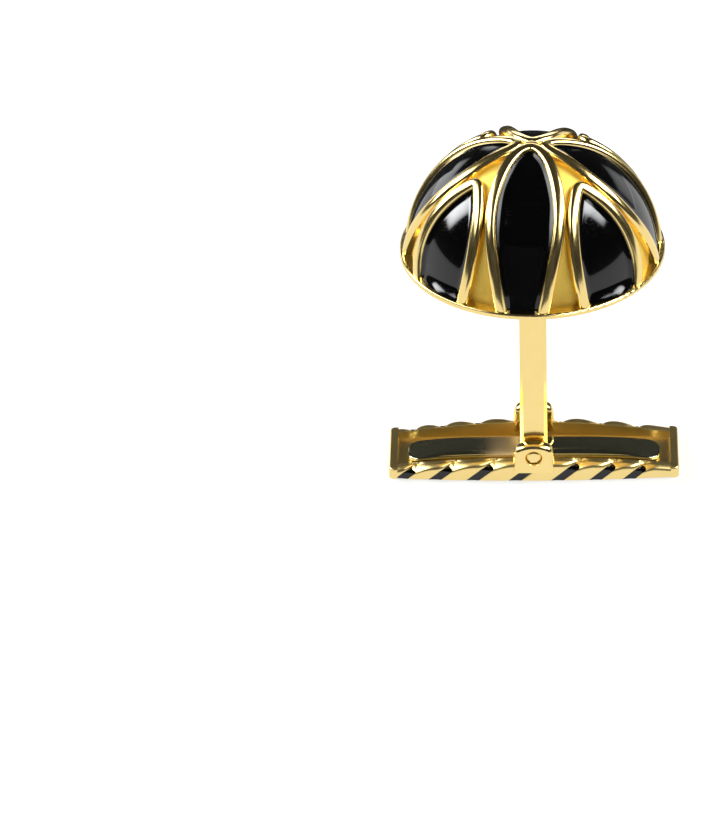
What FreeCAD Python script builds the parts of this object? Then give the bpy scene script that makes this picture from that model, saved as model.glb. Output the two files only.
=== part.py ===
import FreeCAD, Part
import math
import os

# Cufflink: enamelled dome head on a flat post, with a swivel toggle bar.
# Millimetres, +Z up. X runs along the toggle, Y along the hinge pin.
# The flat underside of the toggle lies on Z = 0, under the middle of the head.

# Head
rim_radius = 9.0            # outside of the rim ring
rim_bottom = 16.8           # underside of the head above the toggle's underside
rim_thickness = 0.4
rim_width = 1.7             # from the outside to the back plate's edge
rim_round = 0.12            # rounded outer edges
rim_ledge = 0.12            # rim ring outside the sphere through the crests of the petal frames
dome_drop = 0.3             # sphere centre below the underside of the head
ground_depth = 0.62         # recessed ground below the frame crests
shell_thickness = 0.75
enamel_depth = 0.24         # enamel below the frame crests
frame_radius = 0.36         # round section of the petal frames
petal_count = 4             # large petals, with as many small ones between them
pattern_turn = -4.5         # turn of the petal pattern about Z, degrees

# Petal outlines along the middle of the frame, seen from the dome's centre:
# (degrees down from the apex, degrees to each side), from the tip to below the rim
large_petal = [(3.2, 0), (5.6, 36), (12, 37.5), (28, 29.6), (46, 22.2), (64, 15.4), (90, 8.8)]
small_petal = [(32.4, 0), (34.2, 6.3), (44, 13.3), (59, 17.8), (75, 17.6), (90, 15.4)]

# Post
post_width = 1.85           # along X
post_depth = 4.1            # along Y, between the lugs
post_bevel = 0.2
foot_radius = 0.3           # rounded corners of the square foot

# Hinge
pin_height = 1.9            # pin axis above the toggle's underside
pin_radius = 0.55
pin_recess = 0.12           # pin ends below the lug faces
pin_play = 0.04             # running fit in the post, radial
lug_play = 0.1              # lug to post, each side
lug_width = 2.8
lug_thickness = 0.95
lug_foot = 0.7              # bottom of the lug above the toggle's underside
lug_top = 2.9
lug_top_radius = 2.4
lug_shoulder = 0.4
lug_round = 0.3             # rounded edge of the outer face

# Toggle
toggle_length = 20.0
end_plate_thickness = 0.57
end_plate_height = 0.8
end_plate_corner = 0.35
end_plate_round = 0.12      # rounded top edge
crest_middle = 3.05         # half width over the rope lobes
crest_end = 2.68
floor_thickness = 0.3
trough_middle = 2.2         # half width of the trough
trough_end = 1.9
wall_middle = 1.42          # wall height
wall_end = 0.78
arch_angle = 30             # sweep of the arched tops, past both ends
crown_start = 2.27          # half width inside which the wall tops are level
crown_end = 3.3             # half width where their rise ends, outside the lobe crests
crown_rise = 0.3            # rise of the wall tops between these
lobes_along = 6.13          # lobes of the middle's pitch in the length between the end plates
lobe_squeeze = 0.05         # narrowing of the lobes towards the ends, for each lobe from the middle
lobe_depth = 0.44           # crest to valley
lobe_lean = 1.15            # run along X for each mm of height
front_phase = -0.244        # middle valley from the toggle's middle, in pitches
back_phase = 0.081
lobe_level = 0.5            # height at which the valleys stand on their pitch
stripe_depth = 0.16         # stripe enamel below the lobe crests
stripe_count = 7            # on each side
stripe_drop = 0.04          # stripe enamel below the top of the wall

# Leaf spring
spring_end_gap = 0.73       # to the end plates
spring_width = 2.36
spring_thickness = 0.25
spring_foot = 0.9           # flat ends that lie on the floor
spring_corner = 0.8
spring_play = 0.01          # below the post's foot

# Derived places
dome_radius = rim_radius - rim_ledge
centre_height = rim_bottom - dome_drop
rim_top = rim_bottom + rim_thickness
ground_radius = dome_radius - ground_depth
enamel_radius = dome_radius - enamel_depth
spine_radius = dome_radius - frame_radius
plate_radius = rim_radius - rim_width
foot_reach = post_width / 2
lug_inner = post_depth / 2 + lug_play
lug_outer = lug_inner + lug_thickness
tray_half = toggle_length / 2 - end_plate_thickness
lobe_pitch = 2 * tray_half / lobes_along
spring_top = pin_height - foot_reach - spring_play

X = FreeCAD.Vector(1, 0, 0)
Y = FreeCAD.Vector(0, 1, 0)
Z = FreeCAD.Vector(0, 0, 1)
ORIGIN = FreeCAD.Vector(0, 0, 0)
CENTRE = FreeCAD.Vector(0, 0, centre_height)
FAR = 4 * rim_radius        # past the whole object
FRONT = -90                 # turn from +X to the front
PARALLEL = 0.99             # cosine above which two directions count as one
NEAR = 0.01                 # distance within which two places count as one


def vec(x, y, z):
    return FreeCAD.Vector(x, y, z)


def save(shape, name):
    shape.exportStep("parts/" + name + ".step")


def turned(shape, degrees):
    copy = shape.copy()
    copy.rotate(ORIGIN, Z, degrees)
    return copy


def arc(start, middle, end):
    return Part.Arc(start, middle, end).toShape()


def line(start, end):
    return Part.makeLine(start, end)


def solid(edges, direction):
    return Part.Face(Part.Wire(edges)).extrude(direction)


def largest(shape):
    return max(shape.Solids, key=lambda item: item.Volume)


def along(shape, direction):
    """Edges of a shape that start out along a direction."""
    return [
        edge for edge in shape.Edges
        if abs(edge.tangentAt(edge.FirstParameter).dot(direction)) > PARALLEL
    ]


# Head

def cap(radius):
    """Ball about the dome's centre, cut level with the top of the rim ring."""
    ball = Part.makeSphere(radius, CENTRE)
    ball.rotate(CENTRE, Z, 180)
    above = Part.makeBox(FAR, FAR, FAR, vec(-FAR / 2, -FAR / 2, rim_top))
    return ball.common(above)


def on_dome(degrees_down, degrees_aside):
    """Point on the frame's middle line, for a petal that points along +X."""
    down = math.radians(degrees_down)
    aside = math.radians(degrees_aside)
    return CENTRE + spine_radius * vec(
        math.sin(down) * math.cos(aside), math.sin(down) * math.sin(aside), math.cos(down)
    )


def petal_wire(outline):
    """Round wire bent along both sides of the outline, through its tip."""
    right = [on_dome(down, aside) for down, aside in reversed(outline)]
    left = [on_dome(down, -aside) for down, aside in outline[1:]]
    curve = Part.BSplineCurve()
    curve.interpolate(right + left)
    spine = Part.Wire([curve.toShape()])
    section = Part.makeCircle(frame_radius, right[0], curve.tangent(curve.FirstParameter)[0])
    return spine.makePipeShell([Part.Wire([section])], True, False)


def wedge(half_angle):
    """Upright sector about the dome's axis, open along +X."""
    reach = FAR / 2
    corner = math.radians(half_angle)
    left = vec(reach * math.cos(corner), reach * math.sin(corner), 0)
    right = vec(reach * math.cos(corner), -reach * math.sin(corner), 0)
    outline = Part.makePolygon([ORIGIN, right, left, ORIGIN])
    return Part.Face(outline).extrude(Z * FAR)


def petal(outline):
    """Frame and enamel of one petal that points along +X."""
    sector = wedge(180 / petal_count)
    wire = petal_wire(outline)
    frame = wire.common(sector).common(cap(rim_radius)).cut(cap(ground_radius))
    layer = cap(enamel_radius).cut(cap(ground_radius)).common(sector)
    middle = on_dome(outline[-2][0], 0)
    pieces = layer.cut(wire).Solids
    enamel = [piece for piece in pieces if piece.isInside(middle, NEAR, True)]
    return largest(frame), enamel[0]


def small_frame(frame):
    """Frame of a small petal, fitted between the large ones on both sides."""
    beside = 180 / petal_count
    large_wire = petal_wire(large_petal)
    for turn in (-beside, beside):
        frame = frame.cut(turned(large_wire, turn))
    return largest(frame)


def dome_shell():
    return cap(ground_radius).cut(cap(ground_radius - shell_thickness))


def rim_ring():
    outside = Part.makeCylinder(rim_radius, rim_thickness, vec(0, 0, rim_bottom))
    round_edges = [edge for edge in outside.Edges if edge.Length > rim_radius]
    outside = outside.makeFillet(rim_round, round_edges)
    return outside.cut(Part.makeCylinder(plate_radius, rim_thickness, vec(0, 0, rim_bottom)))


def back_plate():
    return Part.makeCylinder(plate_radius, rim_thickness, vec(0, 0, rim_bottom))


def post():
    foot = pin_height - foot_reach
    bar = Part.makeBox(
        post_width, post_depth, rim_bottom - foot, vec(-post_width / 2, -post_depth / 2, foot)
    )
    bar = bar.makeChamfer(post_bevel, along(bar, Z))
    low = [edge for edge in along(bar, Y) if edge.BoundBox.ZMax < foot + NEAR]
    bar = bar.makeFillet(foot_radius, low)
    hole = Part.makeCylinder(pin_radius + pin_play, post_depth, vec(0, -post_depth / 2, pin_height), Y)
    return bar.cut(hole)


# Toggle

def bowed(middle, end, x):
    """Half width at x of a side that bows from the ends out to the middle."""
    return middle - (middle - end) * (x / tray_half) ** 2


def valley(number, phase):
    """Place along X of a valley between two lobes, at the lobe level."""
    place = number - (stripe_count - 1) / 2
    return (phase + place - lobe_squeeze * place * abs(place)) * lobe_pitch


def side_point(x, depth):
    """Point on the front side, a depth in from the lobe crests, on Z = 0."""
    return vec(x - lobe_lean * lobe_level, -bowed(crest_middle, crest_end, x) + depth, 0)


def lobe_arc(number, phase):
    """Crest line of the lobe between valley number and the next one."""
    start = valley(number, phase)
    end = valley(number + 1, phase)
    return arc(
        side_point(start, lobe_depth),
        side_point((start + end) / 2, 0),
        side_point(end, lobe_depth),
    )


def leaned(edges):
    """Upright solid of a flat outline that leans along X like a rope's strands."""
    return solid(edges, vec(lobe_lean, 0, 1) * lug_top)


def under_arch(drop):
    """Everything below the arched tops of the walls, which rise to the outside, between the end plates."""
    rise = wall_middle - wall_end
    sweep = (tray_half ** 2 + rise ** 2) / (2 * rise)
    top = wall_middle - drop
    hub = top - sweep
    high = top + crown_rise
    high_middle = top + crown_rise * 3 / 4
    crown_middle = (crown_start + crown_end) / 2
    outline = [
        line(vec(0, -crown_start, top), vec(0, crown_start, top)),
        arc(vec(0, crown_start, top), vec(0, crown_middle, high_middle), vec(0, crown_end, high)),
        line(vec(0, crown_end, high), vec(0, crown_end, hub / 2)),
        line(vec(0, crown_end, hub / 2), vec(0, -crown_end, hub / 2)),
        line(vec(0, -crown_end, hub / 2), vec(0, -crown_end, high)),
        arc(vec(0, -crown_end, high), vec(0, -crown_middle, high_middle), vec(0, -crown_start, top)),
    ]
    face = Part.Face(Part.Wire(outline))
    face.rotate(vec(0, 0, hub), Y, -arch_angle / 2)
    arched = face.revolve(vec(0, 0, hub), Y, arch_angle)
    between = Part.makeBox(2 * tray_half, FAR, FAR, vec(-tray_half, -FAR / 2, 0))
    return arched.common(between)


def lug_room():
    """Room of the front lug, above its foot and outside its inner face."""
    return Part.makeBox(
        lug_width, FAR, FAR, vec(-lug_width / 2, -lug_inner - FAR, lug_foot)
    )


def trough():
    """Hollow between the walls, above the floor."""
    corners = [vec(sx * tray_half, sy * trough_end, floor_thickness)
               for sx, sy in ((-1, -1), (1, -1), (1, 1), (-1, 1))]
    outline = [
        arc(corners[0], vec(0, -trough_middle, floor_thickness), corners[1]),
        line(corners[1], corners[2]),
        arc(corners[2], vec(0, trough_middle, floor_thickness), corners[3]),
        line(corners[3], corners[0]),
    ]
    return solid(outline, Z * FAR)


def front_half(phase):
    """Front half of the tray's block, with its row of leaning lobes."""
    edges = [lobe_arc(number, phase) for number in range(-2, stripe_count + 2)]
    left = edges[0].valueAt(edges[0].FirstParameter)
    right = edges[-1].valueAt(edges[-1].LastParameter)
    edges += [
        line(right, vec(right.x, 0, 0)),
        line(vec(right.x, 0, 0), vec(left.x, 0, 0)),
        line(vec(left.x, 0, 0), left),
    ]
    return leaned(edges)


def toggle_tray():
    block = under_arch(0).cut(lug_room())
    front = front_half(front_phase).common(block)
    back = front_half(back_phase).common(block)
    return front.fuse(turned(back, 180)).removeSplitter().cut(trough())


def stripe(number, phase):
    """Enamel in one valley of the front side."""
    before = lobe_arc(number - 1, phase)
    after = lobe_arc(number, phase)
    covered = (1 - math.sqrt(stripe_depth / lobe_depth)) / 2
    reach = covered * (before.LastParameter - before.FirstParameter)
    left = before.LastParameter - reach
    right = after.FirstParameter + reach
    edges = [
        before.Curve.toShape(left, before.LastParameter),
        after.Curve.toShape(after.FirstParameter, right),
        line(after.valueAt(right), before.valueAt(left)),
    ]
    return largest(leaned(edges).common(under_arch(stripe_drop)).cut(lug_room()))


def end_plate():
    """End plate at the +X end."""
    plate = Part.makeBox(
        end_plate_thickness, 2 * crest_end, end_plate_height, vec(tray_half, -crest_end, 0)
    )
    outside = [edge for edge in along(plate, Z) if edge.BoundBox.XMin > tray_half + NEAR]
    plate = plate.makeFillet(end_plate_corner, outside)
    top = [
        edge for edge in plate.Edges
        if edge.BoundBox.ZMin > end_plate_height - NEAR and edge.BoundBox.XMax > tray_half + NEAR
    ]
    return plate.makeFillet(end_plate_round, top)


def lug():
    """Front lug, with its pin hole."""
    half = lug_width / 2
    side_top = lug_top - (lug_top_radius - math.sqrt(lug_top_radius ** 2 - half ** 2))
    face = -lug_outer
    outline = [
        line(vec(-half, face, lug_foot), vec(half, face, lug_foot)),
        line(vec(half, face, lug_foot), vec(half, face, side_top)),
        arc(vec(half, face, side_top), vec(0, face, lug_top), vec(-half, face, side_top)),
        line(vec(-half, face, side_top), vec(-half, face, lug_foot)),
    ]
    body = solid(outline, Y * lug_thickness)
    shoulders = [edge for edge in along(body, Y) if edge.BoundBox.ZMin > lug_foot + NEAR]
    body = body.makeFillet(lug_shoulder, shoulders)
    rounded = [
        edge for edge in body.Edges
        if edge.BoundBox.YMax < face + NEAR and edge.BoundBox.ZMax > lug_foot + NEAR
    ]
    body = body.makeFillet(lug_round, rounded)
    return body.cut(Part.makeCylinder(pin_radius, lug_thickness, vec(0, face, pin_height), Y))


def hinge_pin():
    reach = lug_outer - pin_recess
    return Part.makeCylinder(pin_radius, 2 * reach, vec(0, -reach, pin_height), Y)


def leaf_spring():
    half = tray_half - spring_end_gap
    flat = half - spring_foot
    side = -spring_width / 2
    low = floor_thickness
    high = low + spring_thickness
    outline = [
        line(vec(-half, side, low), vec(-flat, side, low)),
        arc(vec(-flat, side, low), vec(0, side, spring_top - spring_thickness), vec(flat, side, low)),
        line(vec(flat, side, low), vec(half, side, low)),
        line(vec(half, side, low), vec(half, side, high)),
        line(vec(half, side, high), vec(flat, side, high)),
        arc(vec(flat, side, high), vec(0, side, spring_top), vec(-flat, side, high)),
        line(vec(-flat, side, high), vec(-half, side, high)),
        line(vec(-half, side, high), vec(-half, side, low)),
    ]
    strip = solid(outline, Y * spring_width)
    return strip.makeFillet(spring_corner, along(strip, Z))


# Build

os.makedirs("parts", exist_ok=True)

save(dome_shell(), "dome_shell")
save(rim_ring(), "rim_ring")
save(back_plate(), "back_plate")
save(post(), "post")

large_frame, large_enamel = petal(large_petal)
between_frame, small_enamel = petal(small_petal)
petals = (
    ("large_petal_frame", large_frame, 0),
    ("large_petal_enamel", large_enamel, 0),
    ("small_petal_frame", small_frame(between_frame), 0.5),
    ("small_petal_enamel", small_enamel, 0.5),
)
for name, shape, offset in petals:
    for number in range(petal_count):
        turn = FRONT + pattern_turn + (number + offset) * 360 / petal_count
        save(turned(shape, turn), "%s_%d" % (name, number + 1))

save(toggle_tray(), "toggle_tray")
for side, phase, turn in (("front", front_phase, 0), ("back", back_phase, 180)):
    save(turned(lug(), turn), side + "_lug")
    for number in range(stripe_count):
        save(turned(stripe(number, phase), turn), "%s_stripe_%d" % (side, number + 1))
save(end_plate(), "right_end_plate")
save(turned(end_plate(), 180), "left_end_plate")
save(hinge_pin(), "hinge_pin")
save(leaf_spring(), "leaf_spring")
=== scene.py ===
import math
import bmesh
import bpy
import numpy as np
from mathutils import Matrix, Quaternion, Vector


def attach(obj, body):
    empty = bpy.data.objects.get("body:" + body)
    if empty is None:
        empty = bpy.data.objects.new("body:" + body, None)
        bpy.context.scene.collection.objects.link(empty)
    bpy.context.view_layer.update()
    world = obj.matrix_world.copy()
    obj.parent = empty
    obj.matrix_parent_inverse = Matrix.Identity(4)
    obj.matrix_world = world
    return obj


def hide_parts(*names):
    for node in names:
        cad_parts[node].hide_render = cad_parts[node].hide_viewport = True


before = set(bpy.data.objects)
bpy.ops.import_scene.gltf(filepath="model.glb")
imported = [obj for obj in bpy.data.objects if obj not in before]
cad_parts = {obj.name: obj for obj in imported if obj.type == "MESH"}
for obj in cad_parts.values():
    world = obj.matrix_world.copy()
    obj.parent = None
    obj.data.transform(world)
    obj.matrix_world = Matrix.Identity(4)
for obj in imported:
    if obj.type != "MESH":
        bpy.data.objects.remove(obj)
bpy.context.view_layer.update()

# Cufflink: enamelled dome head on a flat post, with a swivel toggle bar.
# Sizes are in millimetres and become metres where meshes and places are made.
MM = 0.001
sharp_angle = 40            # edges sharper than this, in degrees, stay edges
axis_gap = 0.001            # hole left along the axis of a turned piece, too small to see
path_density = 8            # trial points for each point of a smooth line

# Head, on the same values as the solids
centre_height = 16.5        # middle of the dome's sphere
crest_radius = 8.875        # crests of the petal frames
ground_radius = 8.26        # recessed ground between the petals
rim_top = 17.2
petal_count = 4             # large petals, and as many small ones between them
pattern_turn = -4.5         # turn of the petal pattern about Z, degrees
FRONT = -90                 # turn from +X to the front

# Petal outlines along the crest of the frame, from the tip to inside the rim ring:
# (degrees down from the apex, degrees to each side)
front_petal = [(2.6, 0), (5, 36.5), (12, 38.2), (28, 29), (46.6, 21.5), (64, 15.1), (86, 9.2)]
side_petal = [(6.5, 0), (8.5, 20), (17, 25.2), (28, 25.6), (40, 23.6), (57, 19), (74, 13), (86, 9.3)]
# The small petals lean towards the side petals, so both sides are given, from rim to rim
small_petal = [
    (86, -16.4), (75, -17.9), (59.5, -17.8), (44.5, -13), (36.4, -5.5), (32.6, 3.4),
    (36, 8.6), (47.8, 14.8), (60, 17.2), (75, 16.9), (86, 14.6),
]

# Petal frames
frame_half = 0.42           # half width of a frame
frame_root = 0.68           # bottom of a frame below its crest, inside the ground
frame_flare = 0.03          # how much wider a frame is at its foot
frame_flatness = 2.7        # 2 is a round section, and more is flatter on top
frame_points = 180          # places along a frame
frame_steps = 24            # steps over its section
hand_wobble = 0.012         # slow changes of a hand-finished crest
width_waves = ((0.11, 1), (0.047, 2.3))  # rate along a frame, and shift from one frame to the next
height_waves = ((0.07, 1.7),)
small_seed = 5              # gives the small petals other waves than the large ones

# Metal that joins the frames at the apex
boss_reach = 0.8
boss_drop = 0.05            # its middle below the crests
boss_fall = 0.34            # its edge below its middle
boss_root = 0.1             # its underside below the ground
boss_steps = 14
boss_turns = 48

# Enamel of a petal: its middle below the crests, and how far it climbs at the frames and at the rim
front_enamel = (0.50, 0.26, 0.10)
side_enamel = (0.32, 0.08, 0.10)
small_enamel = (0.50, 0.22, 0.50)
enamel_creep = 0.5          # how far from a frame the enamel starts to climb
creep_curve = 1.5           # 1 is a straight slope
frame_cover = 0.75          # share of a frame's half width that lies over the enamel
edge_unevenness = 0.1
edge_waves = ((0.19, 1), (0.43, 5))      # rate along an edge, and shift from one petal to the next
rim_creep = 0.72            # how far from the rim it starts to climb
rim_curve = 1.35
rim_fall = 0.7              # how fast that climb dies away towards the frames
middle_lean = 1             # the climb at the rim is highest in the middle of a petal's foot
foot_lean = (1, 1, 1, 0.45)  # the same for each small petal; below 1 it is highest to one side
enamel_sink = 0.05          # underside of the enamel below the ground
cell_points = 121           # places along a cell's outline
cell_columns = 33           # points across a cell

# Toggle bar, on the same values as the solids
tray_half = 9.43            # up to the end plates
crest_middle = 3.05         # reach of the rope strands at the middle of the bar
crest_end = 2.68
trough_middle = 2.2         # inside of the walls
trough_end = 1.9
wall_middle = 1.42          # height of the walls
wall_end = 0.78
tray_floor = 0.3
strands_along = 6.13
strand_squeeze = 0.05       # strands get shorter towards the ends
strand_lean = 1.15
lean_level = 0.5            # height at which the grooves have their places
front_phase = -0.244
back_phase = 0.081
groove_count = 7

# Rope strands
groove_depth = 0.5
face_flatness = 7.0         # strands are nearly flat on the face and round at the top
top_flatness = 2.2
round_from = 0.55           # where a strand starts to round, below the top
shoulder_height = 0.34      # rounded top of a strand
shoulder_depth = 0.42
shoulder_limit = 0.85       # share of a wall that its shoulder may take
groove_dip = 0.16           # a groove also dips the top of the wall
bottom_round = 0.08
lip_round = 0.05            # inner edge of a wall's top
floor_round = 0.2           # inner foot of a wall
round_middle = 0.3          # middle of such a round from its corner, as a share of its radius
bottom_steps = 3
face_steps = 8
shoulder_steps = 10
top_steps = 4
tray_columns = 560

# Enamel between the strands
stripe_half = 0.44
stripe_sag = 0.03
stripe_thickness = 0.22
stripe_bottom = 0.02        # lower end above the underside of the bar
stripe_short = 0.30         # how much shorter a stripe is than its wall is high
stripe_end = 0.2            # share of its height that narrows to a rounded end
stripe_taper = 0.94         # how far it narrows
stripe_dip = 0.12           # how far that end sinks
stripe_rows = 26
stripe_columns = 13

# Hinge
pin_height = 1.9
pin_radius = 0.55
pin_fit = 0.99              # radius that is drawn against the one named, to clear the hole
pin_sink = 0.04             # domed pin ends below the lug faces
pin_dome = 0.5              # share of a pin end that is rounded
pin_dome_height = 0.26
pin_peak = 0.02             # middle of a pin end above its dome
pin_steps = 11
pin_turns = 64
lug_width = 2.8
lug_inner = 2.15
lug_outer = 3.1
lug_foot = 0.7
lug_top = 2.9
lug_top_radius = 2.4
lug_corner = 7.0            # higher is a tighter shoulder
lug_edge = 0.34             # rounded edge of the outer face
lug_inner_edge = 0.9        # the inner face's edge against the outer one's
lug_edge_start = 0.8        # height above the foot at which the edge is fully round
lug_points = 96             # places round the outline
lug_edge_steps = 9
lug_face_shares = (0.4, 0.75)  # rings on the face, from the edge to the hole
hole_edge = 1.08            # outer edge of the hole against the pin
hole_wall = 1.02
hole_bevel = 0.05
hole_depth = 0.4
smallest = 1e-6             # keeps a division from failing

# Leaf spring
spring_half = 8.7
spring_width = 2.36
spring_thickness = 0.25
spring_top = 0.965
spring_curve = 4            # 2 is an even bow, and more is flatter in the middle
spring_round = 0.12
spring_corner = 0.8
spring_columns = 141
spring_around = 32

# Hairlines of a polish, in two layers: turn in radians, and shift
scratch_layers = ((0.5, 0.0), (-0.9, 3.7))
scratch_tilt = 0.3          # turn about X against the turn about Y and Z
scratch_stretch = (260, 9000, 9000)
scratch_edge = (0.64, 0.72)  # part of the noise that is a hairline
scratch_detail = 1.0
wave_scale = 700.0
wave_detail = 2.0
wave_roughness = 0.4

# Finishes. Marks are the scale of the hairlines and of the waves; a bump is its height and its strength
gold_colours = ((0.90, 0.67, 0.25), (0.93, 0.73, 0.31))
gold_marks = (1.0, 1.0)
polished_roughness = (0.17, 0.20)  # between the hairlines and on them
worn_roughness = (0.31, 0.32)
gold_wave_bump = (0.012, 0.6)
gold_scratch_bump = (0.001, 0.1)
# the second ground colour is the brown of a painted olive reflection near the rim
ground_colours = ((0.98, 0.74, 0.17), (0.66, 0.43, 0.08))
ground_marks = (1.6, 1.8)
ground_roughness = (0.60, 0.74)
ground_wave_bump = (0.05, 0.8)
pit_bump = (0.01, 0.5)
pit_scale = 2600.0
pit_edge = (0.05, 0.22)
low_reflection_height = 2.2          # a painted olive reflection makes the ground browner below this height above the rim
steel_colours = ((0.50, 0.50, 0.31), (0.66, 0.64, 0.43))
steel_marks = (0.55, 0.6)
steel_roughness = (0.06, 0.42)  # polished, and in the patch of painted post reflection
steel_scratch_roughness = (0.0, 0.2)
steel_wave_bump = (0.008, 0.4)
steel_scratch_bump = (0.003, 0.4)
# colour of the painted reflection of the gold post in the spring
post_reflection_colour = (0.62, 0.50, 0.32)
post_reflection_start = (-4.6, -2.4)    # along the spring, where the painted reflection of the post comes in
post_reflection_end = (0.6, -0.2)       # and where it ends, from the plain side
enamel_colours = ((0.0003, 0.0003, 0.0004), (0.0008, 0.0008, 0.0007))
enamel_marks = (0.8, 0.7)
enamel_roughness = (0.07, 0.16)
enamel_wave_bump = (0.006, 0.4)
enamel_refraction = 1.5

# Camera, fitted to the rim, the dome's outline and the toggle in the photograph
camera_place = (1.453, -339.771, 224.587)
camera_aim = (-12.14, -4.84, 6.81)
camera_roll = -1.6
camera_lens = 255.5
camera_sensor = 36
camera_near = 10

# Table
table_half = 1500
table_grey = 0.9
floor_share = 0.6           # how much of the table is plain white in view; the rest takes the shadow
mirrored_share = 0.92       # the same in reflections

# Lamps: degrees round from the front, degrees up, width and height in metres, and brightness
lamps = {
    "left_softbox": (-112, 29, (0.25, 0.20), 19.0),
    "right_softbox": (104, 39, (0.25, 0.20), 14.0),
    "upper_left_softbox": (-82, 50, (0.36, 0.17), 6.5),
    "upper_right_softbox": (68, 52, (0.36, 0.17), 6.5),
    "back_softbox": (180, 19, (0.30, 0.10), 4.0),
    "low_left_softbox": (-144, 7, (0.15, 0.14), 2.2),
    "low_right_softbox": (139, 7, (0.15, 0.14), 1.0),
}
lamp_colour = (0.97, 0.985, 1.0)
lamp_distance = 420
lamp_aim = 12               # height that the lamps are turned to
horizon_light = 0.06
overhead_light = 0.035
horizon_top = 0.2           # where the horizon's light ends, as a share of the way up

# Black cards: radius, half the angle covered, bottom and top
front_card = (50, 27, 9, 54)
back_card = (30, 40, 0.5, 26)
card_points = 25
card_grey = 0.03
card_roughness = 0.9


# Mesh helpers

def new_piece(name, vertices, faces, material, body, replaced=()):
    """Smooth-shaded mesh piece, from vertices in millimetres, that rides on a body."""
    mesh = bpy.data.meshes.new(name)
    mesh.from_pydata([Vector(v) * MM for v in vertices], [], faces)
    shape = bmesh.new()
    shape.from_mesh(mesh)
    bmesh.ops.recalc_face_normals(shape, faces=shape.faces)
    shape.to_mesh(mesh)
    shape.free()
    mesh.shade_smooth()
    mesh.set_sharp_from_angle(angle=math.radians(sharp_angle))
    mesh.materials.append(material)
    piece = bpy.data.objects.new(name, mesh)
    bpy.context.scene.collection.objects.link(piece)
    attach(piece, body)
    for node in replaced:
        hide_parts(node)


def stage_piece(name, vertices, faces, material):
    """Mesh of the studio, from vertices in millimetres."""
    mesh = bpy.data.meshes.new(name)
    mesh.from_pydata([Vector(v) * MM for v in vertices], [], faces)
    mesh.materials.append(material)
    piece = bpy.data.objects.new(name, mesh)
    bpy.context.scene.collection.objects.link(piece)
    return piece


def grid_faces(rows, columns, closed=False):
    """Quads of a grid of rows of points, joined round when the rows are closed."""
    faces = []
    last = columns if closed else columns - 1
    for row in range(rows - 1):
        for column in range(last):
            beside = (column + 1) % columns
            start = row * columns
            faces.append((
                start + column, start + beside, start + columns + beside, start + columns + column
            ))
    return faces


def tube_faces(rows, columns):
    """Quads of a grid that is joined round, with a face over each end."""
    faces = grid_faces(rows, columns, closed=True)
    faces.append(tuple(range(columns)))
    faces.append(tuple(range((rows - 1) * columns, rows * columns)))
    return faces


def slab_faces(rows, columns):
    """Faces of two grids of points, one under the other, closed round their borders."""
    faces = grid_faces(rows, columns)
    shift = rows * columns
    faces += [tuple(shift + corner for corner in reversed(face)) for face in faces]
    border = [row * columns for row in range(rows)]
    border += [(rows - 1) * columns + column for column in range(1, columns)]
    border += [row * columns + columns - 1 for row in reversed(range(rows - 1))]
    border += list(reversed(range(1, columns - 1)))
    for i, corner in enumerate(border):
        beside = border[(i + 1) % len(border)]
        faces.append((corner, beside, shift + beside, shift + corner))
    return faces


def smooth_path(points, count):
    """Evenly spaced points on a smooth cubic line through the given ones."""
    points = np.array(points, float)
    spans = np.sqrt(np.linalg.norm(np.diff(points, axis=0), axis=1))
    knots = np.concatenate([[0], np.cumsum(spans)])
    size = len(points)
    system = np.zeros((size, size))
    bends = np.zeros_like(points)
    system[0, 0] = 1
    system[-1, -1] = 1
    for i in range(1, size - 1):
        system[i, i - 1] = spans[i - 1]
        system[i, i] = 2 * (spans[i - 1] + spans[i])
        system[i, i + 1] = spans[i]
        ahead = (points[i + 1] - points[i]) / spans[i]
        behind = (points[i] - points[i - 1]) / spans[i - 1]
        bends[i] = 6 * (ahead - behind)
    bends = np.linalg.solve(system, bends)
    dense = []
    for place in np.linspace(0, knots[-1], path_density * count):
        i = min(np.searchsorted(knots, place, side="right") - 1, size - 2)
        from_start = place - knots[i]
        to_end = knots[i + 1] - place
        span = spans[i]
        dense.append(
            (bends[i] * to_end ** 3 + bends[i + 1] * from_start ** 3) / (6 * span)
            + (points[i] / span - bends[i] * span / 6) * to_end
            + (points[i + 1] / span - bends[i + 1] * span / 6) * from_start
        )
    dense = np.array(dense)
    lengths = np.linalg.norm(np.diff(dense, axis=0), axis=1)
    walked = np.concatenate([[0], np.cumsum(lengths)])
    even = np.linspace(0, walked[-1], count)
    return np.stack([np.interp(even, walked, dense[:, axis]) for axis in range(3)], axis=1)


def unit(rows):
    """Vectors of length 1 with the same directions."""
    return rows / np.linalg.norm(rows, axis=-1, keepdims=True)


def slow_waves(place, seed, waves):
    """Sum of slow waves at a place along a piece, shifted from piece to piece."""
    return sum(math.sin(rate * place + shift * seed) for rate, shift in waves)


def lathe(profile, turns):
    """Points and faces of a closed profile, as (radius, height), turned about Z."""
    points = []
    for step in range(turns):
        angle = 2 * math.pi * step / turns
        for radius, height in profile:
            points.append((radius * math.cos(angle), radius * math.sin(angle), height))
    faces = grid_faces(turns, len(profile), closed=True)
    start = (turns - 1) * len(profile)
    for column in range(len(profile)):
        beside = (column + 1) % len(profile)
        faces.append((start + column, start + beside, beside, column))
    return points, faces


# Shading helpers

# Sockets of Blender's Mix node when it mixes colours
MIX_MASK = 0
MIX_FIRST = 6
MIX_SECOND = 7
MIX_RESULT = 2


def add_node(tree, kind, inputs=None, **settings):
    """New node with its settings, and its inputs set or linked."""
    made = tree.nodes.new(kind)
    for name, value in settings.items():
        setattr(made, name, value)
    for name, value in (inputs or {}).items():
        if isinstance(value, bpy.types.NodeSocket):
            tree.links.new(value, made.inputs[name])
        else:
            made.inputs[name].default_value = value
    return made


def calculate(tree, operation, first, second):
    """Number worked out from two others."""
    return add_node(tree, "ShaderNodeMath", {0: first, 1: second}, operation=operation).outputs["Value"]


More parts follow.
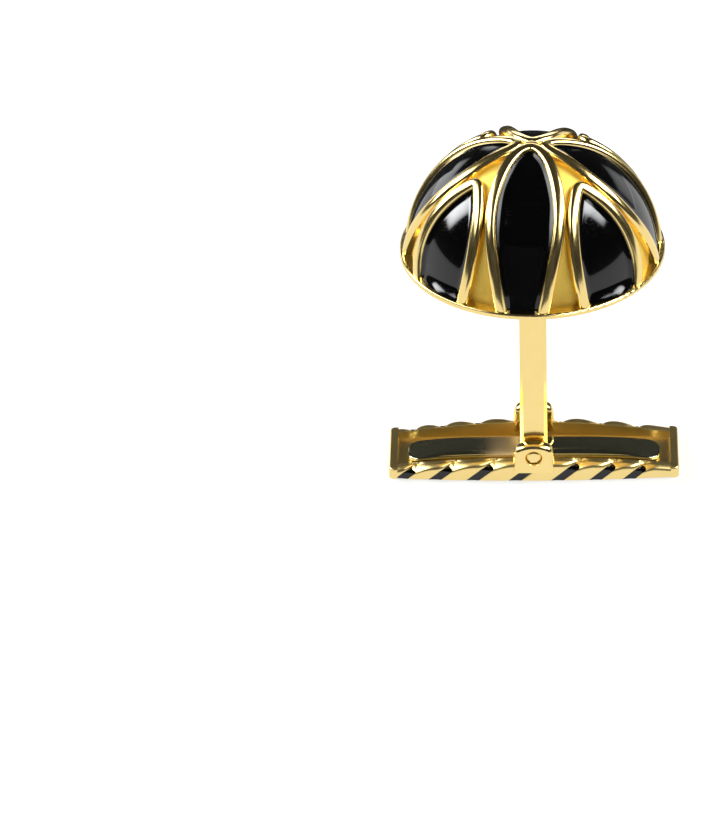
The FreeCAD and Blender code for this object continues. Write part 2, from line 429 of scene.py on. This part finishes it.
def part_of(tree, vector, axis):
    """One of the three numbers of a vector."""
    return add_node(tree, "ShaderNodeSeparateXYZ", {"Vector": vector}).outputs[axis]


def mask_between(tree, value, start, end, **settings):
    """Mask that runs from 0 to 1 while a value goes from the start to the end."""
    return add_node(tree, "ShaderNodeMapRange", {
        "Value": value, "From Min": start, "From Max": end,
    }, **settings).outputs["Result"]


def spread(tree, mask, low, high):
    """Number that runs from low to high along a mask."""
    return add_node(tree, "ShaderNodeMapRange", {
        "Value": mask, "To Min": low, "To Max": high,
    }).outputs["Result"]


def two_tone(tree, mask, first, second):
    """Colour that runs from the first to the second along a mask; each is set or comes from a node."""
    tones = [tone if isinstance(tone, bpy.types.NodeSocket) else (*tone, 1) for tone in (first, second)]
    mix = add_node(tree, "ShaderNodeMix", {
        MIX_MASK: mask, MIX_FIRST: tones[0], MIX_SECOND: tones[1],
    }, data_type="RGBA")
    return mix.outputs[MIX_RESULT]


def bump(tree, height, distance, strength, under=None):
    """Normal from a height, in millimetres, on top of another normal."""
    made = add_node(tree, "ShaderNodeBump", {
        "Height": height, "Distance": distance * MM, "Strength": strength,
    })
    if under is not None:
        tree.links.new(under, made.inputs["Normal"])
    return made.outputs["Normal"]


def new_group(name, inputs, outputs):
    """Empty shader node group with number inputs, as name and value, and number outputs."""
    group = bpy.data.node_groups.new(name, "ShaderNodeTree")
    vector = group.interface.new_socket("Vector", in_out="INPUT", socket_type="NodeSocketVector")
    vector.hide_value = True
    for label, value in inputs:
        socket = group.interface.new_socket(label, in_out="INPUT", socket_type="NodeSocketFloat")
        socket.default_value = value
    for label in outputs:
        group.interface.new_socket(label, in_out="OUTPUT", socket_type="NodeSocketFloat")
    start = group.nodes.new("NodeGroupInput")
    end = group.nodes.new("NodeGroupOutput")
    return group, start, end


def polish_marks_group():
    """Hairline scratches in two directions and the slow waves of a hand polish."""
    group, start, end = new_group(
        "polish_marks", [("Scratch Scale", 1.0), ("Wave Scale", 1.0)], ["Scratches", "Waves"]
    )
    layers = []
    for turn, shift in scratch_layers:
        turned = add_node(group, "ShaderNodeMapping", {
            "Vector": start.outputs["Vector"],
            "Location": (shift, shift, shift),
            "Rotation": (scratch_tilt * turn, turn, turn),
            "Scale": scratch_stretch,
        })
        scaled = add_node(group, "ShaderNodeVectorMath", {
            0: turned.outputs["Vector"], "Scale": start.outputs["Scratch Scale"],
        }, operation="SCALE")
        lines = add_node(group, "ShaderNodeTexNoise", {
            "Vector": scaled.outputs["Vector"], "Scale": 1.0, "Detail": scratch_detail,
        })
        layers.append(mask_between(group, lines.outputs["Fac"], *scratch_edge))
    group.links.new(calculate(group, "MAXIMUM", *layers), end.inputs["Scratches"])
    scaled = add_node(group, "ShaderNodeVectorMath", {
        0: start.outputs["Vector"], "Scale": start.outputs["Wave Scale"],
    }, operation="SCALE")
    waves = add_node(group, "ShaderNodeTexNoise", {
        "Vector": scaled.outputs["Vector"],
        "Scale": wave_scale,
        "Detail": wave_detail,
        "Roughness": wave_roughness,
    })
    group.links.new(waves.outputs["Fac"], end.inputs["Waves"])
    return group


polish_marks = polish_marks_group()


def add_marks(tree, coordinates, scratch_size, wave_size):
    """Masks of the hairlines and of the waves, at the scale of a finish."""
    marks = add_node(tree, "ShaderNodeGroup", node_tree=polish_marks)
    tree.links.new(coordinates, marks.inputs["Vector"])
    marks.inputs["Scratch Scale"].default_value = scratch_size
    marks.inputs["Wave Scale"].default_value = wave_size
    return marks.outputs["Scratches"], marks.outputs["Waves"]


# Finishes

def new_material(name):
    """Material with only its shader and output, and the object's own coordinates."""
    material = bpy.data.materials.new(name)
    material.use_nodes = True
    tree = material.node_tree
    tree.nodes.clear()
    shader = tree.nodes.new("ShaderNodeBsdfPrincipled")
    end = tree.nodes.new("ShaderNodeOutputMaterial")
    tree.links.new(shader.outputs["BSDF"], end.inputs["Surface"])
    coordinates = tree.nodes.new("ShaderNodeTexCoord").outputs["Object"]
    return material, tree, shader, coordinates


def yellow_gold(name, roughness):
    """Yellow gold with hairlines and a slightly wavy surface."""
    material, tree, shader, coordinates = new_material(name)
    scratches, waves = add_marks(tree, coordinates, *gold_marks)
    tree.links.new(two_tone(tree, waves, *gold_colours), shader.inputs["Base Color"])
    tree.links.new(spread(tree, scratches, *roughness), shader.inputs["Roughness"])
    shader.inputs["Metallic"].default_value = 1
    wavy = bump(tree, waves, *gold_wave_bump)
    tree.links.new(bump(tree, scratches, *gold_scratch_bump, wavy), shader.inputs["Normal"])
    return material


def ground_gold():
    """Satin gold of the recessed ground, pitted, and browner down by the rim with a painted olive
    reflection.
    """
    material, tree, shader, coordinates = new_material("satin_ground_gold")
    _, waves = add_marks(tree, coordinates, *ground_marks)
    pits = add_node(tree, "ShaderNodeTexVoronoi", {
        "Vector": coordinates, "Scale": pit_scale, "Randomness": 1.0,
    })
    pitted = mask_between(tree, pits.outputs["Distance"], *pit_edge)
    # painted olive reflection: the ground turns browner near the rim
    height = part_of(tree, coordinates, "Z")
    low = mask_between(tree, height, (rim_top + low_reflection_height) * MM, rim_top * MM)
    painted_low_reflection = calculate(tree, "MULTIPLY", low, waves)
    tree.links.new(two_tone(tree, painted_low_reflection, *ground_colours), shader.inputs["Base Color"])
    tree.links.new(spread(tree, waves, *ground_roughness), shader.inputs["Roughness"])
    shader.inputs["Metallic"].default_value = 1
    wavy = bump(tree, waves, *ground_wave_bump)
    tree.links.new(bump(tree, pitted, *pit_bump, wavy), shader.inputs["Normal"])
    return material


def spring_steel():
    """Mirror-polished steel with long scratches, and a painted reflection of the gold post: a brownish,
    rougher patch on one side of the post's foot.
    """
    material, tree, shader, coordinates = new_material("polished_spring_steel")
    scratches, waves = add_marks(tree, coordinates, *steel_marks)
    along = part_of(tree, coordinates, "X")
    edges = []
    # painted reflection of the post: a brownish patch along the spring by the post's foot
    for start, end in (post_reflection_start, post_reflection_end):
        edges.append(mask_between(tree, along, start * MM, end * MM, interpolation_type="SMOOTHSTEP"))
    post_reflection = calculate(tree, "MULTIPLY", *edges)
    bright = two_tone(tree, waves, *steel_colours)
    tree.links.new(two_tone(tree, post_reflection, bright, post_reflection_colour), shader.inputs["Base Color"])
    dull = spread(tree, post_reflection, *steel_roughness)
    rough = calculate(tree, "ADD", dull, spread(tree, scratches, *steel_scratch_roughness))
    tree.links.new(rough, shader.inputs["Roughness"])
    shader.inputs["Metallic"].default_value = 1
    wavy = bump(tree, waves, *steel_wave_bump)
    tree.links.new(bump(tree, scratches, *steel_scratch_bump, wavy), shader.inputs["Normal"])
    return material


def black_enamel():
    """Deep black glassy enamel with faint ripples and hairlines."""
    material, tree, shader, coordinates = new_material("black_glass_enamel")
    scratches, waves = add_marks(tree, coordinates, *enamel_marks)
    tree.links.new(two_tone(tree, waves, *enamel_colours), shader.inputs["Base Color"])
    tree.links.new(spread(tree, scratches, *enamel_roughness), shader.inputs["Roughness"])
    shader.inputs["IOR"].default_value = enamel_refraction
    tree.links.new(bump(tree, waves, *enamel_wave_bump), shader.inputs["Normal"])
    return material


gold = yellow_gold("polished_yellow_gold", polished_roughness)
worn_gold = yellow_gold("worn_yellow_gold", worn_roughness)
satin = ground_gold()
steel = spring_steel()
enamel = black_enamel()


# Head

dome_middle = np.array([0, 0, centre_height])


def on_dome(radius, down, around):
    """Point on a sphere about the dome's middle; around is measured from +X."""
    down = math.radians(down)
    around = math.radians(around)
    return np.array([
        radius * math.sin(down) * math.cos(around),
        radius * math.sin(down) * math.sin(around),
        centre_height + radius * math.cos(down),
    ])


def both_sides(outline):
    """Whole outline from rim to rim of a petal whose sides match."""
    right = [(down, -aside) for down, aside in reversed(outline)]
    return right + list(outline[1:])


def crest_line(outline, turn, count):
    """Crest of a petal's frame on the dome, from rim to rim through the tip."""
    points = [on_dome(crest_radius, down, turn + aside) for down, aside in outline]
    path = smooth_path(points, count)
    return dome_middle + crest_radius * unit(path - dome_middle)


def frame_profile():
    """Section of a frame as (sideways, up from the crest), a flattened round with steep sides."""
    section = []
    for step in range(frame_steps + 1):
        angle = math.radians(180 * step / frame_steps - 90)
        across = math.copysign(abs(math.sin(angle)) ** (2 / frame_flatness), angle)
        up = max(math.cos(angle), 0) ** (2 / frame_flatness)
        section.append((frame_half * across, frame_half * (up - 1)))
    foot = frame_half + frame_flare
    return [(-foot, -frame_root)] + section + [(foot, -frame_root)]


def petal_frame(name, outline, turn, seed, node):
    """Frame swept along a petal's crest line, with slow hand-made changes of height and width."""
    path = crest_line(outline, turn, frame_points)
    ahead = unit(np.gradient(path, axis=0))
    up = unit(path - dome_middle)
    side = np.cross(ahead, up)
    section = frame_profile()
    points = []
    for i, place in enumerate(path):
        wider = 1 + hand_wobble * slow_waves(i, seed, width_waves)
        lower = hand_wobble * (1 + slow_waves(i, seed, height_waves)) / 2
        for across, height in section:
            points.append(place + side[i] * across * wider + up[i] * (height - lower))
    faces = tube_faces(len(path), len(section))
    new_piece(name, points, faces, gold, "head", [node])


def frame_climb(spot, crest, seed):
    """How far enamel has climbed to the frame's two sides: 0 in the open and about 1 at the frame."""
    half = len(crest) // 2
    steps = crest[1:] - crest[:-1]
    reach = spot - crest[:-1]
    along = np.clip(np.sum(reach * steps, axis=1) / np.sum(steps * steps, axis=1), 0, 1)
    gaps = np.linalg.norm(reach - along[:, None] * steps, axis=1) - frame_half * frame_cover
    flat = 1
    for start in (0, half):
        nearest = start + np.argmin(gaps[start:start + half])
        uneven = slow_waves(nearest + along[nearest], seed, edge_waves) / len(edge_waves)
        climb = np.clip(1 - gaps[nearest] / enamel_creep, 0, 1) ** creep_curve
        flat *= 1 - climb * (1 + edge_unevenness * uneven)
    return 1 - flat


def rim_climb(height, share, lean):
    """How far enamel has climbed to the rim, at a height and a share of the way across its petal."""
    climb = max(1 - max(height - rim_top, 0) / rim_creep, 0) ** rim_curve
    return climb * math.sin(math.pi * share ** lean) ** rim_fall


def enamel_cell(name, outline, turn, seed, filling, lean, node):
    """Enamel that fills a petal and climbs a little at the frame and the rim."""
    depth, edge_rise, rim_rise = filling
    crest = crest_line(outline, turn, cell_points)
    half = cell_points // 2
    top = []
    for row in range(half + 1):
        first = crest[half - row]
        last = crest[half + row]
        for column in range(cell_columns):
            share = column / (cell_columns - 1)
            outward = unit(first * (1 - share) + last * share - dome_middle)
            spot = dome_middle + crest_radius * outward
            rise = max(
                edge_rise * frame_climb(spot, crest, seed),
                rim_rise * rim_climb(spot[2], share, lean),
            )
            top.append(dome_middle + outward * (crest_radius - depth + rise))
    under = ground_radius - enamel_sink
    bottom = [dome_middle + unit(point - dome_middle) * under for point in top]
    faces = slab_faces(half + 1, cell_columns)
    new_piece(name, top + bottom, faces, enamel, "head", [node])


def apex_boss():
    """Metal that joins the frames where they meet at the apex."""
    profile = []
    for step in range(boss_steps + 1):
        share = step / boss_steps
        down = math.degrees(share * boss_reach / crest_radius)
        height = crest_radius - boss_drop - boss_fall * share ** 2
        point = on_dome(height, down, 0)
        profile.append((max(point[0], axis_gap), point[2]))
    underside = centre_height + ground_radius - boss_root
    profile.append((profile[-1][0], underside))
    profile.append((axis_gap, underside))
    points, faces = lathe(profile, boss_turns)
    new_piece("apex_boss", points, faces, gold, "head")


def large_petal(number, turn):
    """Large petal; those with even numbers face the front and the back."""
    label = str(number + 1)
    aside = number % 2 == 1
    outline = both_sides(side_petal if aside else front_petal)
    filling = side_enamel if aside else front_enamel
    petal_frame("large_petal_wire_" + label, outline, turn, number, "large_petal_frame_" + label)
    enamel_cell(
        "large_petal_cell_" + label, outline, turn, number, filling, middle_lean,
        "large_petal_enamel_" + label,
    )


def leaning_petal(number, turn):
    """Small petal, turned over from one to the next, so that each leans towards a side petal."""
    label = str(number + 1)
    seed = number + small_seed
    hand = -1 if number % 2 else 1
    outline = [(down, hand * aside) for down, aside in small_petal]
    petal_frame("small_petal_wire_" + label, outline, turn, seed, "small_petal_frame_" + label)
    enamel_cell(
        "small_petal_cell_" + label, outline, turn, seed, small_enamel, foot_lean[number],
        "small_petal_enamel_" + label,
    )


def build_head():
    """Petals round the dome, large and small by turns, and the metal at the apex."""
    apart = 360 / petal_count
    for number in range(petal_count):
        turn = FRONT + pattern_turn + number * apart
        large_petal(number, turn)
        leaning_petal(number, turn + apart / 2)
    apex_boss()


# Toggle bar

def bowed(middle, end, x):
    """Value that runs from the middle of the bar to its ends along a flat curve."""
    return middle - (middle - end) * (x / tray_half) ** 2


def groove_place(number, phase):
    """Place along the bar of a groove, counted from 0, at the level where the lean starts."""
    pitch = 2 * tray_half / strands_along
    place = number - (groove_count - 1) / 2
    return (phase + place - strand_squeeze * place * abs(place)) * pitch


def groove_share(x, z, phase):
    """1 in the bottom of a groove and 0 on the crest of a strand, for a wall seen from outside."""
    pitch = 2 * tray_half / strands_along
    along = (x - strand_lean * (z - lean_level)) / pitch - phase
    root = math.sqrt(1 - 4 * strand_squeeze * abs(along))
    count = math.copysign((1 - root) / (2 * strand_squeeze), along)
    if abs(round(count)) > groove_count // 2:
        return 0
    from_groove = abs(count - round(count))
    below_top = min(max((bowed(wall_middle, wall_end, x) - z) / round_from, 0), 1)
    flatness = top_flatness + (face_flatness - top_flatness) * below_top ** 2
    return (1 - 2 * from_groove) ** flatness


def wall_reach(x, z, phase):
    """Outer face of a wall, measured from the middle of the bar."""
    return bowed(crest_middle, crest_end, x) - groove_depth * groove_share(x, z, phase)


def wall_section(x, phase):
    """Section of a wall as (reach, height), from its outer bottom edge over the top to the floor."""
    top = bowed(wall_middle, wall_end, x)
    inside = bowed(trough_middle, trough_end, x)
    section = []
    for step in range(bottom_steps + 1):
        angle = math.radians(90 * step / bottom_steps)
        height = bottom_round * (1 - math.cos(angle))
        section.append((wall_reach(x, height, phase) - bottom_round * (1 - math.sin(angle)), height))
    start = top - shoulder_height - groove_dip * groove_share(x, top, phase)
    for step in range(1, face_steps + 1):
        height = bottom_round + (start - bottom_round) * step / face_steps
        section.append((wall_reach(x, height, phase), height))
    for step in range(1, shoulder_steps + 1):
        angle = math.radians(90 * step / shoulder_steps)
        height = start + shoulder_height * math.sin(angle)
        reach = wall_reach(x, height, phase)
        inset = min(shoulder_depth, shoulder_limit * (reach - inside))
        section.append((reach - inset * (1 - math.cos(angle)), height))
    reach, height = section[-1]
    for step in range(1, top_steps + 1):
        share = step / top_steps
        section.append((
            reach + (inside + lip_round - reach) * share, height + (top - height) * share
        ))
    lip = round_middle * lip_round
    foot = round_middle * floor_round
    section.append((inside + lip, top - lip))
    section.append((inside, top - lip_round))
    section.append((inside, tray_floor + floor_round))
    section.append((inside - foot, tray_floor + foot))
    section.append((inside - floor_round, tray_floor))
    return section


def rope_tray():
    """Tray with a leaning rope of strands along both walls."""
    points = []
    for column in range(tray_columns):
        x = tray_half * (2 * column / (tray_columns - 1) - 1)
        front = [(x, -reach, height) for reach, height in wall_section(x, front_phase)]
        back = [(x, reach, height) for reach, height in wall_section(-x, back_phase)]
        points += front + list(reversed(back))
    faces = tube_faces(tray_columns, len(points) // tray_columns)
    new_piece("rope_tray", points, faces, worn_gold, "toggle", ["toggle_tray"])


def groove_stripe(name, number, phase, turn, node):
    """Enamel in a groove, from the bottom of the wall to a rounded end at its top."""
    middle = groove_place(number, phase)
    top = bowed(wall_middle, wall_end, middle)
    face = []
    for row in range(stripe_rows):
        share = row / (stripe_rows - 1)
        height = stripe_bottom + (top - stripe_short) * share
        line = middle + strand_lean * (height - lean_level)
        left = wall_reach(max(line - stripe_half, -tray_half), height, phase)
        right = wall_reach(min(line + stripe_half, tray_half), height, phase)
        over = max(share - (1 - stripe_end), 0) / stripe_end
        half = stripe_half * math.sqrt(1 - stripe_taper * over ** 2)
        for column in range(stripe_columns):
            across = 2 * column / (stripe_columns - 1) - 1
            x = max(min(line + half * across, tray_half), -tray_half)
            level = left + (right - left) * (across + 1) / 2
            sag = stripe_sag * (1 - across ** 2) + stripe_dip * over ** 2
            face.append((x, level - sag, height))
    back = [(x, reach - stripe_thickness, height) for x, reach, height in face]
    points = [(turn * x, -turn * reach, height) for x, reach, height in face + back]
    faces = slab_faces(stripe_rows, stripe_columns)
    new_piece(name, points, faces, enamel, "toggle", [node])


def lug_outline():
    """Outline of a lug as (x, z) from the pin's axis: straight sides, a low arch, rounded shoulders."""
    half = lug_width / 2
    arch = lug_top - lug_top_radius - pin_height
    outline = []
    for step in range(lug_points):
        angle = 2 * math.pi * (step + 0.5) / lug_points
        across = math.sin(angle)
        up = math.cos(angle)
        to_side = half / max(abs(across), smallest)
        if up > 0:
            to_arch = arch * up + math.sqrt(lug_top_radius ** 2 - (arch * across) ** 2)
            distance = (to_side ** -lug_corner + to_arch ** -lug_corner) ** (-1 / lug_corner)
        else:
            distance = min(to_side, (pin_height - lug_foot) / max(-up, smallest))
        outline.append((distance * across, distance * up))
    return np.array(outline)


def lug_edges(outline):
    """Inward steps of a lug's rounded edge, which fades out towards the foot."""
    ahead = np.roll(outline, -1, axis=0) - np.roll(outline, 1, axis=0)
    outward = unit(np.stack([-ahead[:, 1], ahead[:, 0]], axis=1))
    outward *= np.sign(np.sum(outward * outline, axis=1))[:, None]
    from_foot = np.clip((outline[:, 1] + pin_height - lug_foot) / lug_edge_start, 0, 1)
    return (lug_edge * from_foot)[:, None] * outward


def hinge_lug(name, turn, node):
    """Lug with a rounded edge round its outer face and the hole that the pin sits in."""
    outline = lug_outline()
    edge = lug_edges(outline)
    hole = unit(outline) * pin_radius
    centre = 0 * hole
    angles = [math.radians(90 * step / lug_edge_steps) for step in range(lug_edge_steps + 1)]
    loops = [(centre, lug_inner)]
    for angle in angles:
        inset = lug_inner_edge * edge * (1 - math.sin(angle))
        loops.append((outline - inset, lug_inner + lug_inner_edge * lug_edge * (1 - math.cos(angle))))
    for angle in angles:
        inset = edge * (1 - math.cos(angle))
        loops.append((outline - inset, lug_outer - lug_edge * (1 - math.sin(angle))))
    inner = outline - edge
    for share in lug_face_shares:
        loops.append((inner + (hole * hole_edge - inner) * share, lug_outer))
    loops.append((hole * hole_edge, lug_outer))
    loops.append((hole * hole_wall, lug_outer - hole_bevel))
    loops.append((hole * hole_wall, lug_outer - hole_depth))
    loops.append((centre, lug_outer - hole_depth))
    points = []
    for loop, reach in loops:
        for across, up in loop:
            points.append((turn * across, -turn * reach, pin_height + up))
    faces = grid_faces(len(loops), lug_points, closed=True)
    new_piece(name, points, faces, gold, "toggle", [node])


def hinge_rod():
    """Hinge pin with domed ends."""
    end = []
    for step in range(pin_steps + 1):
        angle = math.radians(90 * step / pin_steps)
        end.append((
            pin_radius * (pin_fit - pin_dome * (1 - math.cos(angle))),
            lug_outer - pin_sink - pin_dome_height * (1 - math.sin(angle)),
        ))
    end.append((axis_gap, lug_outer - pin_sink + pin_peak))
    profile = end + [(radius, -reach) for radius, reach in reversed(end)]
    turned, faces = lathe(profile, pin_turns)
    points = [(x, -z, pin_height + y) for x, y, z in turned]
    new_piece("hinge_rod", points, faces, gold, "toggle", ["hinge_pin"])


def bowed_spring():
    """Polished strip that lies on its ends and rises to the post's foot."""
    rise = spring_top - tray_floor - spring_thickness
    thin = spring_thickness / 2
    points = []
    for column in range(spring_columns):
        x = spring_half * math.sin(math.pi * (column / (spring_columns - 1) - 0.5))
        middle = spring_top - rise * (x / spring_half) ** spring_curve - thin
        past = max(abs(x) - (spring_half - spring_corner), 0)
        corner = spring_corner - math.sqrt(max(spring_corner ** 2 - past ** 2, 0))
        half = spring_width / 2 - corner
        for step in range(spring_around):
            angle = 2 * math.pi * (step + 0.5) / spring_around
            side = math.copysign(1, math.cos(angle))
            upper = math.copysign(1, math.sin(angle))
            points.append((
                x,
                side * (half - spring_round) + spring_round * math.cos(angle),
                middle + upper * (thin - spring_round) + spring_round * math.sin(angle),
            ))
    faces = tube_faces(spring_columns, spring_around)
    new_piece("bowed_spring", points, faces, steel, "toggle", ["leaf_spring"])


def build_toggle():
    """Tray with its spring, hinge and enamel stripes."""
    rope_tray()
    bowed_spring()
    hinge_lug("front_hinge_lug", 1, "front_lug")
    hinge_lug("back_hinge_lug", -1, "back_lug")
    hinge_rod()
    for number in range(groove_count):
        label = str(number + 1)
        groove_stripe("front_groove_" + label, number, front_phase, 1, "front_stripe_" + label)
        groove_stripe("back_groove_" + label, number, back_phase, -1, "back_stripe_" + label)


def finish_solids():
    """Finishes of the solids, those that stay in view and those that a finer piece replaces."""
    finishes = {
        "dome_shell": satin,
        "leaf_spring": steel,
        "left_end_plate": worn_gold,
        "right_end_plate": worn_gold,
    }
    for name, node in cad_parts.items():
        material = finishes.get(name, enamel if "stripe" in name or "enamel" in name else gold)
        node.data.materials.clear()
        node.data.materials.append(material)


# Studio

def white_table():
    """White that keeps a soft shadow, and that metal shows too."""
    material = bpy.data.materials.new("white_table")
    material.use_nodes = True
    tree = material.node_tree
    tree.nodes.clear()
    matt = add_node(tree, "ShaderNodeBsdfDiffuse", {"Color": (table_grey, table_grey, table_grey, 1)})
    white = add_node(tree, "ShaderNodeEmission", {"Color": (1, 1, 1, 1), "Strength": 1.0})
    path = tree.nodes.new("ShaderNodeLightPath").outputs
    mirrored = calculate(tree, "MAXIMUM", path["Is Glossy Ray"], path["Is Transmission Ray"])
    share = calculate(
        tree, "ADD",
        calculate(tree, "MULTIPLY", path["Is Camera Ray"], floor_share),
        calculate(tree, "MULTIPLY", mirrored, mirrored_share),
    )
    mix = add_node(tree, "ShaderNodeMixShader", {
        0: share, 1: matt.outputs["BSDF"], 2: white.outputs["Emission"],
    })
    end = tree.nodes.new("ShaderNodeOutputMaterial")
    tree.links.new(mix.outputs["Shader"], end.inputs["Surface"])
    return material


def floor():
    """Plain table top."""
    corners = [(-1, -1), (1, -1), (1, 1), (-1, 1)]
    points = [(table_half * x, table_half * y, 0) for x, y in corners]
    table = stage_piece("table_top", points, [(0, 1, 2, 3)], white_table())


def soft_edges(tree):
    """Brightness over a lamp's face: 1 in the middle, falling to 0 at its edges."""
    place = tree.nodes.new("ShaderNodeNewGeometry").outputs["Parametric"]
    humps = []
    for axis in ("X", "Y"):
        centred = spread(tree, part_of(tree, place, axis), -1.0, 1.0)
        square = calculate(tree, "MULTIPLY", centred, centred)
        steep = calculate(tree, "MULTIPLY", square, square)
        humps.append(calculate(tree, "SUBTRACT", 1.0, steep))
    return calculate(tree, "MULTIPLY", *humps)


def softbox(name, around, up, size, brightness):
    """Soft area lamp on a circle about the cufflink, turned towards it; angles in degrees."""
    lamp = bpy.data.lights.new(name, "AREA")
    lamp.shape = "RECTANGLE"
    lamp.size, lamp.size_y = size
    lamp.energy = brightness * math.pi * size[0] * size[1]
    lamp.color = lamp_colour
    lamp.use_nodes = True
    tree = lamp.node_tree
    tree.nodes.clear()
    glow = add_node(tree, "ShaderNodeEmission", {"Strength": soft_edges(tree)})
    end = tree.nodes.new("ShaderNodeOutputLight")
    tree.links.new(glow.outputs["Emission"], end.inputs["Surface"])
    around = math.radians(around)
    up = math.radians(up)
    away = Vector((math.cos(up) * math.sin(around), -math.cos(up) * math.cos(around), math.sin(up)))
    box = bpy.data.objects.new(name, lamp)
    box.location = (Vector((0, 0, lamp_aim)) + lamp_distance * away) * MM
    box.rotation_mode = "QUATERNION"
    box.rotation_quaternion = (-away).to_track_quat("-Z", "Y")
    bpy.context.scene.collection.objects.link(box)


def dark_card(name, around, size):
    """Black card bent round the cufflink, seen only in reflections; angles in degrees from the front."""
    radius, sweep, bottom, top = size
    points = []
    for height in (bottom, top):
        for step in range(card_points):
            angle = math.radians(around + sweep * (2 * step / (card_points - 1) - 1))
            points.append((radius * math.sin(angle), -radius * math.cos(angle), height))
    material, _, shader, _ = new_material(name)
    shader.inputs["Base Color"].default_value = (card_grey, card_grey, card_grey, 1)
    shader.inputs["Roughness"].default_value = card_roughness
    card = stage_piece(name, points, grid_faces(2, card_points), material)
    card.visible_camera = False
    card.visible_diffuse = False
    card.visible_shadow = False


def world_light():
    """Grey studio, pale along the horizon and darker overhead."""
    world = bpy.data.worlds.new("studio")
    world.use_nodes = True
    bpy.context.scene.world = world
    tree = world.node_tree
    tree.nodes.clear()
    direction = tree.nodes.new("ShaderNodeTexCoord").outputs["Generated"]
    height = mask_between(tree, part_of(tree, direction, "Z"), 0.0, horizon_top)
    level = spread(tree, height, horizon_light, overhead_light)
    grey = add_node(tree, "ShaderNodeCombineColor", {"Red": level, "Green": level, "Blue": level})
    light = add_node(tree, "ShaderNodeBackground", {"Color": grey.outputs["Color"], "Strength": 1.0})
    end = tree.nodes.new("ShaderNodeOutputWorld")
    tree.links.new(light.outputs["Background"], end.inputs["Surface"])


def camera():
    """Camera at the photograph's place."""
    eye = bpy.data.cameras.new("camera")
    eye.sensor_width = camera_sensor
    eye.lens = camera_lens
    eye.clip_start = camera_near * MM
    view = bpy.data.objects.new("camera", eye)
    view.location = Vector(camera_place) * MM
    look = Vector(camera_aim) - Vector(camera_place)
    view.rotation_mode = "QUATERNION"
    roll = Quaternion((0, 0, 1), math.radians(camera_roll))
    view.rotation_quaternion = look.to_track_quat("-Z", "Y") @ roll
    bpy.context.scene.collection.objects.link(view)
    bpy.context.scene.camera = view


finish_solids()
build_head()
build_toggle()
floor()
# A mirror doubles a turn, so the card that the front petal shows stands at twice the turn of the pattern
dark_card("front_card", 2 * pattern_turn, front_card)
dark_card("back_card", 180, back_card)
for lamp_name, lamp_settings in lamps.items():
    softbox(lamp_name, *lamp_settings)
world_light()
camera()

bpy.context.scene.view_settings.view_transform = "Standard"
